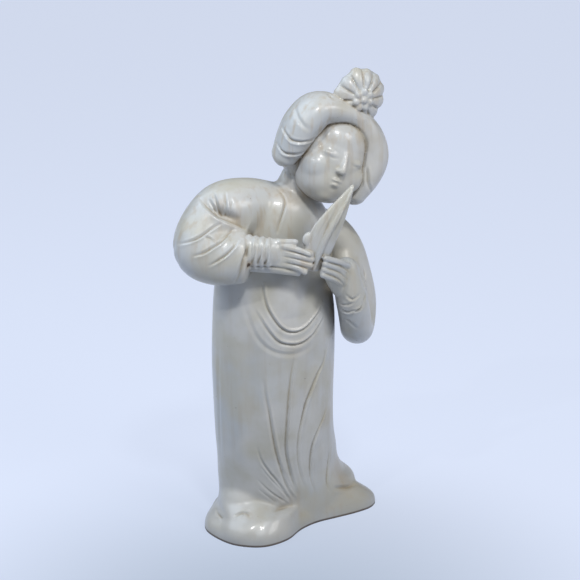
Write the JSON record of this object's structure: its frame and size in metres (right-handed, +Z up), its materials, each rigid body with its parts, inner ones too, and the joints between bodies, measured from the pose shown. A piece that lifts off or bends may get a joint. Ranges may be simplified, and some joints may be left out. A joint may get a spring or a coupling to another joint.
{
  "type": "glazed lady figure",
  "caption": "Grey-white glazed stoneware figure of a plump court lady in a long gown, leaning to her left, holding a leaf in both hands, a peony in her puffed hair, on a low lobed base.",
  "frame": {"origin": "on the flat underside of the base, under the middle of the skirt", "axes": "+Z up, the lady faces -Y, her left side is +X"},
  "size_m": [0.1805, 0.1182, 0.3962],
  "materials": {
    "white_glaze": null
  },
  "bodies": {
    "root": {"glazed_lady_figure": "white_glaze"}
  },
  "joints": []
}
